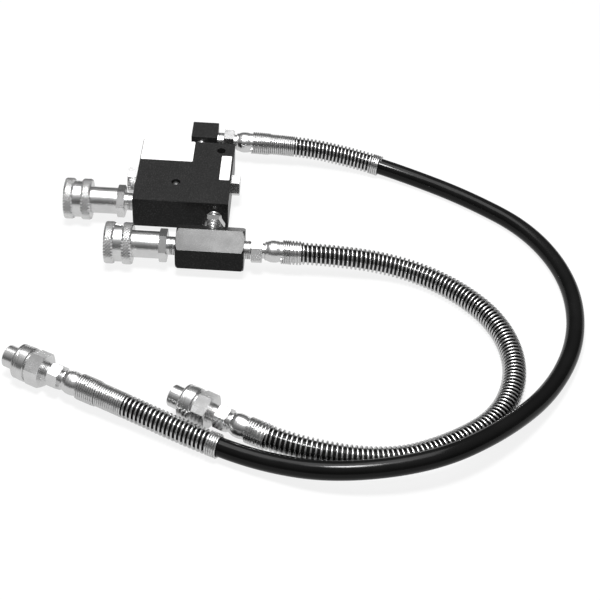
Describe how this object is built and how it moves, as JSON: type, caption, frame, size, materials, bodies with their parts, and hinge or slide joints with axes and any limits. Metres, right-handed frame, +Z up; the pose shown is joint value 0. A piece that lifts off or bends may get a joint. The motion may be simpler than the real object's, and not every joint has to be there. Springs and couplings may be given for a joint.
{
  "type": "counterbalance valve",
  "caption": "Steel valve block with a counterbalance cartridge, hexagon tee bar, knurled screw couplers and two spring-guarded hydraulic hoses that end in couplers.",
  "frame": {"origin": "on the surface the part rests on, under the middle of the valve group's bounding box (everything but the hoses)", "axes": "+X to the right along the cartridge, away from the knurled couplers; +Y to the back, from the tee bar to the elbow block; +Z up"},
  "size_m": [0.4958, 0.4434, 0.0421],
  "materials": {
    "black_steel": "satin black, fine grain",
    "plated_steel": "bright zinc plate",
    "ground_steel": "ground",
    "dark_steel": "dark oiled steel",
    "spring_steel": "spring wire",
    "guard_wire": "plated flat wire",
    "hose_rubber": "smooth, slightly glossy",
    "seal_rubber": "matte"
  },
  "bodies": {
    "valve": {"cap_seal": "seal_rubber", "check_spring": "spring_steel", "coupler_nipple_a": "plated_steel", "coupler_nipple_b": "plated_steel", "drill_plug": "dark_steel", "elbow_block": "black_steel", "end_plug": "plated_steel", "end_plug_seal": "seal_rubber", "fitting_inner_far": "plated_steel", "fitting_inner_near": "plated_steel", "fitting_outer_far": "plated_steel", "fitting_outer_near": "plated_steel", "inner_guard": "guard_wire", "inner_hose": "hose_rubber", "load_spring": "spring_steel", "outer_far_guard": "guard_wire", "outer_hose": "hose_rubber", "outer_near_guard": "guard_wire", "pilot_guide": "ground_steel", "pilot_nipple": "plated_steel", "plug_inner": "plated_steel", "plug_outer": "plated_steel", "plug_spring_inner": "spring_steel", "plug_spring_outer": "spring_steel", "rear_nipple": "plated_steel", "shell_inner_far": "plated_steel", "shell_inner_near": "plated_steel", "shell_outer_far": "plated_steel", "shell_outer_near": "plated_steel", "snap_ring_a": "ground_steel", "snap_ring_b": "ground_steel", "socket_a": "plated_steel", "socket_b": "plated_steel", "socket_seal_a": "seal_rubber", "socket_seal_b": "seal_rubber", "socket_spring_a": "spring_steel", "socket_spring_b": "spring_steel", "spring_cap": "plated_steel", "tee_bar": "black_steel", "valve_body": "black_steel"},
    "main_poppet": {"main_poppet": "ground_steel"},
    "pilot_piston": {"pilot_piston": "ground_steel", "piston_seal": "seal_rubber"},
    "check_seat": {"check_seat": "ground_steel"},
    "spring_seat": {"spring_seat": "ground_steel"},
    "adjusting_screw": {"adjusting_screw": "dark_steel"},
    "sleeve_a": {"sleeve_a": "plated_steel"},
    "sleeve_b": {"sleeve_b": "plated_steel"},
    "socket_poppet_a": {"socket_poppet_a": "ground_steel"},
    "socket_poppet_b": {"socket_poppet_b": "ground_steel"},
    "plug_poppet_outer": {"plug_poppet_outer": "ground_steel"},
    "plug_poppet_inner": {"plug_poppet_inner": "ground_steel"}
  },
  "joints": [
    {"name": "sleeve_a_spin", "type": "hinge", "parent": "valve", "child": "sleeve_a", "pos_m": [-0.06963, -0.01912, 0.02107], "axis": [1, 0, 0], "continuous": true},
    {"name": "sleeve_b_spin", "type": "hinge", "parent": "valve", "child": "sleeve_b", "pos_m": [-0.02397, -0.0803, 0.02107], "axis": [1, 0, 0], "continuous": true},
    {"name": "pilot_piston_slide", "type": "slide", "parent": "valve", "child": "pilot_piston", "axis": [-1, 0, 0], "range_m": [0, 0.003]},
    {"name": "main_poppet_slide", "type": "slide", "parent": "valve", "child": "main_poppet", "axis": [-1, 0, 0], "range_m": [0, 0.003], "stiffness_N_per_m": 2000, "springref_m": -0.003, "deforming": ["load_spring"]},
    {"name": "check_seat_slide", "type": "slide", "parent": "valve", "child": "check_seat", "axis": [1, 0, 0], "range_m": [0, 0.003], "stiffness_N_per_m": 500, "springref_m": -0.003, "deforming": ["check_spring"]},
    {"name": "spring_seat_slide", "type": "slide", "parent": "valve", "child": "spring_seat", "axis": [1, 0, 0], "range_m": [-0.00062, 0.00249], "deforming": ["load_spring"]},
    {"name": "adjusting_screw_turn", "type": "hinge", "parent": "spring_seat", "child": "adjusting_screw", "pos_m": [-0.02133, 0.01477, 0.02107], "axis": [1, 0, 0], "range_deg": [-180, 720]},
    {"name": "socket_poppet_a_slide", "type": "slide", "parent": "valve", "child": "socket_poppet_a", "axis": [1, 0, 0], "range_m": [0, 0.005], "stiffness_N_per_m": 500, "springref_m": -0.006, "deforming": ["socket_spring_a"]},
    {"name": "socket_poppet_b_slide", "type": "slide", "parent": "valve", "child": "socket_poppet_b", "axis": [1, 0, 0], "range_m": [0, 0.005], "stiffness_N_per_m": 500, "springref_m": -0.006, "deforming": ["socket_spring_b"]},
    {"name": "plug_poppet_outer_slide", "type": "slide", "parent": "valve", "child": "plug_poppet_outer", "axis": [0.9026, -0.4305, 0], "range_m": [0, 0.005], "stiffness_N_per_m": 500, "springref_m": -0.006, "deforming": ["plug_spring_outer"]},
    {"name": "plug_poppet_inner_slide", "type": "slide", "parent": "valve", "child": "plug_poppet_inner", "axis": [0.8854, -0.4648, 0], "range_m": [0, 0.005], "stiffness_N_per_m": 500, "springref_m": -0.006, "deforming": ["plug_spring_inner"]}
  ],
  "couplings": [
    {"joint": "main_poppet_slide", "follows": "pilot_piston_slide", "ratio": 1},
    {"joint": "adjusting_screw_turn", "follows": "spring_seat_slide", "rad_per_m": 5026.5}
  ]
}
